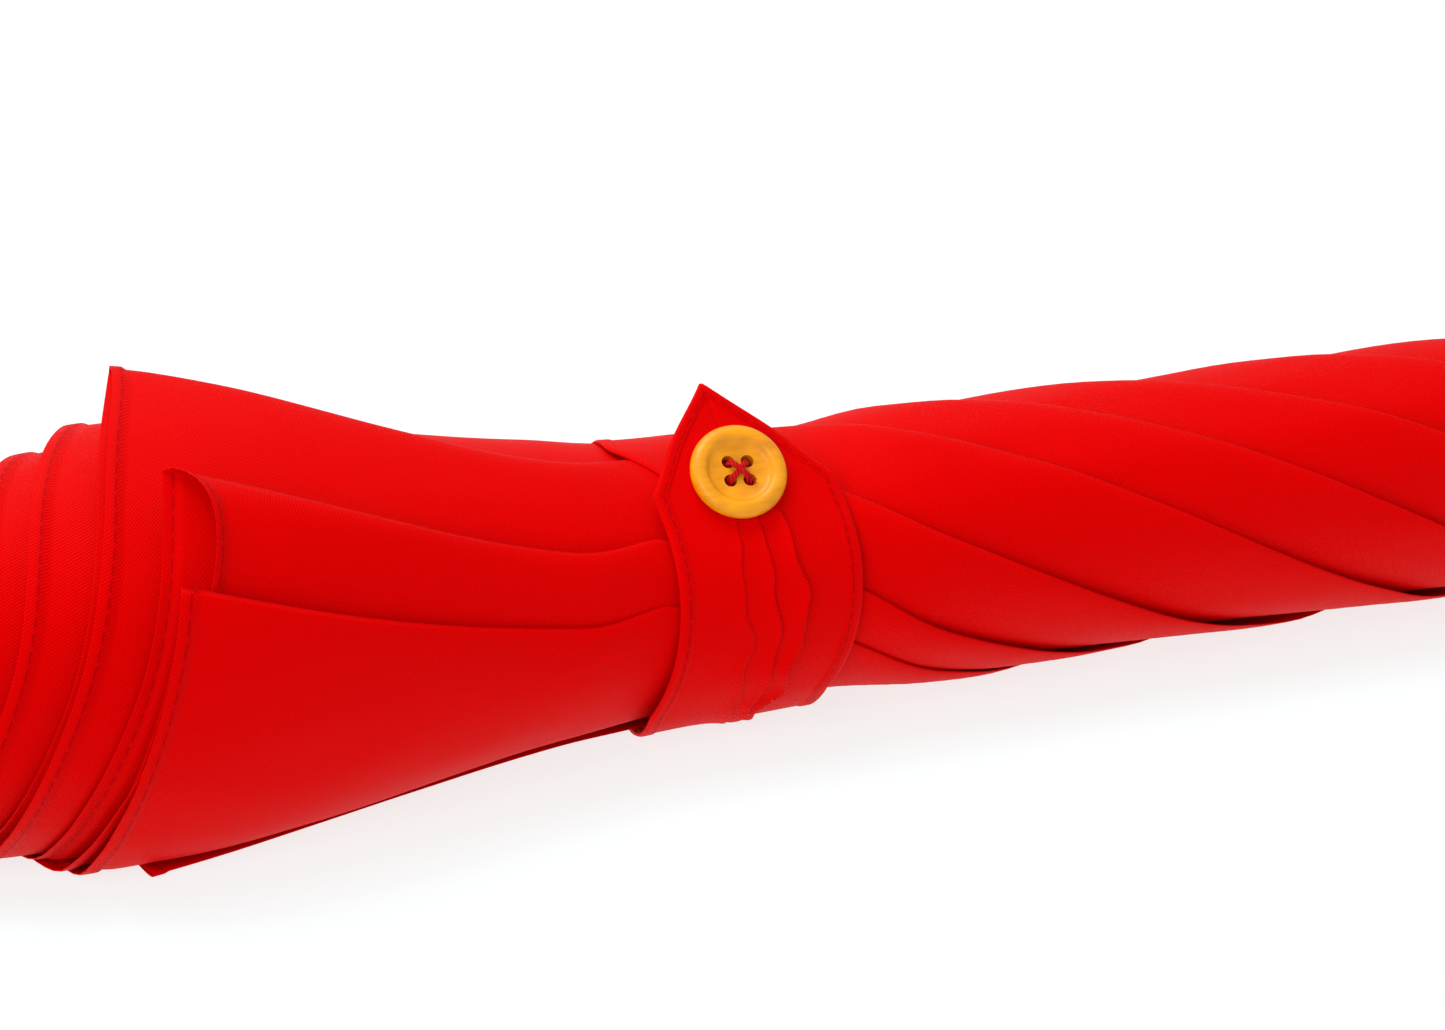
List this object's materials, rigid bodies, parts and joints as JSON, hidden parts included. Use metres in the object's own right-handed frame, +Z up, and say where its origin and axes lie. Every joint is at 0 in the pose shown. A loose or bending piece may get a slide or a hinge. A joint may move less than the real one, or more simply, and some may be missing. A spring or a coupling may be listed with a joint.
{
  "type": "stick umbrella",
  "caption": "Manual stick umbrella with a red cloth canopy, furled and tied with a buttoned strap, lying on its side, with a crook handle, hinged ribs, stretchers and a runner.",
  "frame": {"origin": "on the shaft's axis, at the end of the ferrule's straight wall", "axes": "+X along the shaft, from the handle towards the ferrule; +Z up as the umbrella lies; the crook points to -Y"},
  "size_m": [0.8638, 0.1487, 0.076],
  "materials": {
    "red_cloth": "matt woven polyester",
    "plated_steel": "nickel plated",
    "black_plastic": "moulded, satin",
    "crook_wood": "lacquered",
    "button_wood": "lacquered",
    "red_thread": "sewing thread"
  },
  "bodies": {
    "shaft_group": {"shaft": "plated_steel", "handle_collar": "plated_steel", "crook_handle": "crook_wood", "stop_pin": "plated_steel", "ferrule": "plated_steel", "canopy_cap": "plated_steel", "crown_rosette": "red_cloth", "crown_notch": "black_plastic", "crown_wire": "plated_steel"},
    "runner": {"runner_sleeve": "black_plastic", "runner_wire": "plated_steel"},
    "lower_catch": {"lower_catch": "plated_steel"},
    "upper_catch": {"upper_catch": "plated_steel"},
    "rib1": {"rib_1": "plated_steel", "rib_tip_1": "plated_steel", "fork_rivet_1": "plated_steel"},
    "stretcher1": {"stretcher_1": "plated_steel"},
    "gore1": {"canopy_panel_1": "red_cloth"},
    "rib2": {"rib_2": "plated_steel", "rib_tip_2": "plated_steel", "fork_rivet_2": "plated_steel"},
    "stretcher2": {"stretcher_2": "plated_steel"},
    "gore2": {"canopy_panel_2": "red_cloth"},
    "rib3": {"rib_3": "plated_steel", "rib_tip_3": "plated_steel", "fork_rivet_3": "plated_steel", "strap_band": "red_cloth"},
    "stretcher3": {"stretcher_3": "plated_steel"},
    "gore3": {"canopy_panel_3": "red_cloth"},
    "rib4": {"rib_4": "plated_steel", "rib_tip_4": "plated_steel", "fork_rivet_4": "plated_steel"},
    "stretcher4": {"stretcher_4": "plated_steel"},
    "gore4": {"canopy_panel_4": "red_cloth"},
    "rib5": {"rib_5": "plated_steel", "rib_tip_5": "plated_steel", "fork_rivet_5": "plated_steel"},
    "stretcher5": {"stretcher_5": "plated_steel"},
    "gore5": {"canopy_panel_5": "red_cloth"},
    "rib6": {"rib_6": "plated_steel", "rib_tip_6": "plated_steel", "fork_rivet_6": "plated_steel"},
    "stretcher6": {"stretcher_6": "plated_steel"},
    "gore6": {"canopy_panel_6": "red_cloth"},
    "rib7": {"rib_7": "plated_steel", "rib_tip_7": "plated_steel", "fork_rivet_7": "plated_steel"},
    "stretcher7": {"stretcher_7": "plated_steel"},
    "gore7": {"canopy_panel_7": "red_cloth"},
    "rib8": {"rib_8": "plated_steel", "rib_tip_8": "plated_steel", "fork_rivet_8": "plated_steel"},
    "stretcher8": {"stretcher_8": "plated_steel"},
    "gore8": {"canopy_panel_8": "red_cloth"},
    "tie_tab": {"strap_tab": "red_cloth", "button": "button_wood", "button_thread": "red_thread"}
  },
  "joints": [
    {"name": "rib_turn_1", "type": "hinge", "parent": "shaft_group", "child": "rib1", "pos_m": [-0.095, 0.01109, 0.00459], "axis": [0, 0.3827, -0.9239], "range_deg": [0, 78]},
    {"name": "fork_turn_1", "type": "hinge", "parent": "rib1", "child": "stretcher1", "pos_m": [-0.345, 0.01109, 0.00459], "axis": [0, -0.3827, 0.9239], "range_deg": [0, 156]},
    {"name": "cloth_turn_1", "type": "hinge", "parent": "rib1", "child": "gore1", "pos_m": [-0.08877, 0.0033, 0.0033], "axis": [-0.599, 0.5662, 0.5662], "range_deg": [0, 55.74], "deforming": ["canopy_panel_1"]},
    {"name": "rib_turn_2", "type": "hinge", "parent": "shaft_group", "child": "rib2", "pos_m": [-0.095, 0.00459, 0.01109], "axis": [0, 0.9239, -0.3827], "range_deg": [0, 78]},
    {"name": "fork_turn_2", "type": "hinge", "parent": "rib2", "child": "stretcher2", "pos_m": [-0.345, 0.00459, 0.01109], "axis": [0, -0.9239, 0.3827], "range_deg": [0, 156]},
    {"name": "cloth_turn_2", "type": "hinge", "parent": "rib2", "child": "gore2", "pos_m": [-0.08877, 0, 0.00466], "axis": [-0.599, 0, 0.8007], "range_deg": [0, 55.74], "deforming": ["canopy_panel_2"]},
    {"name": "rib_turn_3", "type": "hinge", "parent": "shaft_group", "child": "rib3", "pos_m": [-0.095, -0.00459, 0.01109], "axis": [0, 0.9239, 0.3827], "range_deg": [0, 78], "deforming": ["strap_band"]},
    {"name": "fork_turn_3", "type": "hinge", "parent": "rib3", "child": "stretcher3", "pos_m": [-0.345, -0.00459, 0.01109], "axis": [0, -0.9239, -0.3827], "range_deg": [0, 156]},
    {"name": "cloth_turn_3", "type": "hinge", "parent": "rib3", "child": "gore3", "pos_m": [-0.08877, -0.0033, 0.0033], "axis": [-0.599, -0.5662, 0.5662], "range_deg": [0, 55.74], "deforming": ["canopy_panel_3"]},
    {"name": "rib_turn_4", "type": "hinge", "parent": "shaft_group", "child": "rib4", "pos_m": [-0.095, -0.01109, 0.00459], "axis": [0, 0.3827, 0.9239], "range_deg": [0, 78]},
    {"name": "fork_turn_4", "type": "hinge", "parent": "rib4", "child": "stretcher4", "pos_m": [-0.345, -0.01109, 0.00459], "axis": [0, -0.3827, -0.9239], "range_deg": [0, 156]},
    {"name": "cloth_turn_4", "type": "hinge", "parent": "rib4", "child": "gore4", "pos_m": [-0.08877, -0.00466, 0], "axis": [-0.599, -0.8007, 0], "range_deg": [0, 55.74], "deforming": ["canopy_panel_4"]},
    {"name": "rib_turn_5", "type": "hinge", "parent": "shaft_group", "child": "rib5", "pos_m": [-0.095, -0.01109, -0.00459], "axis": [0, -0.3827, 0.9239], "range_deg": [0, 78]},
    {"name": "fork_turn_5", "type": "hinge", "parent": "rib5", "child": "stretcher5", "pos_m": [-0.345, -0.01109, -0.00459], "axis": [0, 0.3827, -0.9239], "range_deg": [0, 156]},
    {"name": "cloth_turn_5", "type": "hinge", "parent": "rib5", "child": "gore5", "pos_m": [-0.08877, -0.0033, -0.0033], "axis": [-0.599, -0.5662, -0.5662], "range_deg": [0, 55.74], "deforming": ["canopy_panel_5"]},
    {"name": "rib_turn_6", "type": "hinge", "parent": "shaft_group", "child": "rib6", "pos_m": [-0.095, -0.00459, -0.01109], "axis": [0, -0.9239, 0.3827], "range_deg": [0, 78]},
    {"name": "fork_turn_6", "type": "hinge", "parent": "rib6", "child": "stretcher6", "pos_m": [-0.345, -0.00459, -0.01109], "axis": [0, 0.9239, -0.3827], "range_deg": [0, 156]},
    {"name": "cloth_turn_6", "type": "hinge", "parent": "rib6", "child": "gore6", "pos_m": [-0.08877, 0, -0.00466], "axis": [-0.599, 0, -0.8007], "range_deg": [0, 55.74], "deforming": ["canopy_panel_6"]},
    {"name": "rib_turn_7", "type": "hinge", "parent": "shaft_group", "child": "rib7", "pos_m": [-0.095, 0.00459, -0.01109], "axis": [0, -0.9239, -0.3827], "range_deg": [0, 78]},
    {"name": "fork_turn_7", "type": "hinge", "parent": "rib7", "child": "stretcher7", "pos_m": [-0.345, 0.00459, -0.01109], "axis": [0, 0.9239, 0.3827], "range_deg": [0, 156]},
    {"name": "cloth_turn_7", "type": "hinge", "parent": "rib7", "child": "gore7", "pos_m": [-0.08877, 0.0033, -0.0033], "axis": [-0.599, 0.5662, -0.5662], "range_deg": [0, 55.74], "deforming": ["canopy_panel_7"]},
    {"name": "rib_turn_8", "type": "hinge", "parent": "shaft_group", "child": "rib8", "pos_m": [-0.095, 0.01109, -0.00459], "axis": [0, -0.3827, -0.9239], "range_deg": [0, 78]},
    {"name": "fork_turn_8", "type": "hinge", "parent": "rib8", "child": "stretcher8", "pos_m": [-0.345, 0.01109, -0.00459], "axis": [0, 0.3827, 0.9239], "range_deg": [0, 156]},
    {"name": "cloth_turn_8", "type": "hinge", "parent": "rib8", "child": "gore8", "pos_m": [-0.08877, 0.00466, 0], "axis": [-0.599, 0.8007, 0], "range_deg": [0, 55.74], "deforming": ["canopy_panel_8"]},
    {"name": "runner_wire_turn", "type": "hinge", "parent": "stretcher1", "child": "runner", "pos_m": [-0.595, 0.01109, 0.00459], "axis": [0, 0.3827, -0.9239], "range_deg": [0, 78]},
    {"name": "lower_catch_press", "type": "slide", "parent": "shaft_group", "child": "lower_catch", "axis": [0, 0, -1], "range_m": [0, 0.0026], "stiffness_N_per_m": 400},
    {"name": "upper_catch_press", "type": "slide", "parent": "shaft_group", "child": "upper_catch", "axis": [0, 0, -1], "range_m": [0, 0.0026], "stiffness_N_per_m": 400},
    {"name": "tab_lift", "type": "hinge", "parent": "rib3", "child": "tie_tab", "pos_m": [-0.48, -0.02885, 0.0105], "axis": [1, 0, 0], "range_deg": [0, 100]}
  ],
  "couplings": [
    {"joint": "fork_turn_1", "follows": "rib_turn_1", "ratio": 2},
    {"joint": "cloth_turn_1", "follows": "rib_turn_1", "ratio": 0.71464},
    {"joint": "rib_turn_2", "follows": "rib_turn_1", "ratio": 1},
    {"joint": "fork_turn_2", "follows": "rib_turn_1", "ratio": 2},
    {"joint": "cloth_turn_2", "follows": "rib_turn_1", "ratio": 0.71464},
    {"joint": "rib_turn_3", "follows": "rib_turn_1", "ratio": 1},
    {"joint": "fork_turn_3", "follows": "rib_turn_1", "ratio": 2},
    {"joint": "cloth_turn_3", "follows": "rib_turn_1", "ratio": 0.71464},
    {"joint": "rib_turn_4", "follows": "rib_turn_1", "ratio": 1},
    {"joint": "fork_turn_4", "follows": "rib_turn_1", "ratio": 2},
    {"joint": "cloth_turn_4", "follows": "rib_turn_1", "ratio": 0.71464},
    {"joint": "rib_turn_5", "follows": "rib_turn_1", "ratio": 1},
    {"joint": "fork_turn_5", "follows": "rib_turn_1", "ratio": 2},
    {"joint": "cloth_turn_5", "follows": "rib_turn_1", "ratio": 0.71464},
    {"joint": "rib_turn_6", "follows": "rib_turn_1", "ratio": 1},
    {"joint": "fork_turn_6", "follows": "rib_turn_1", "ratio": 2},
    {"joint": "cloth_turn_6", "follows": "rib_turn_1", "ratio": 0.71464},
    {"joint": "rib_turn_7", "follows": "rib_turn_1", "ratio": 1},
    {"joint": "fork_turn_7", "follows": "rib_turn_1", "ratio": 2},
    {"joint": "cloth_turn_7", "follows": "rib_turn_1", "ratio": 0.71464},
    {"joint": "rib_turn_8", "follows": "rib_turn_1", "ratio": 1},
    {"joint": "fork_turn_8", "follows": "rib_turn_1", "ratio": 2},
    {"joint": "cloth_turn_8", "follows": "rib_turn_1", "ratio": 0.71464},
    {"joint": "runner_wire_turn", "follows": "rib_turn_1", "ratio": 1}
  ]
}
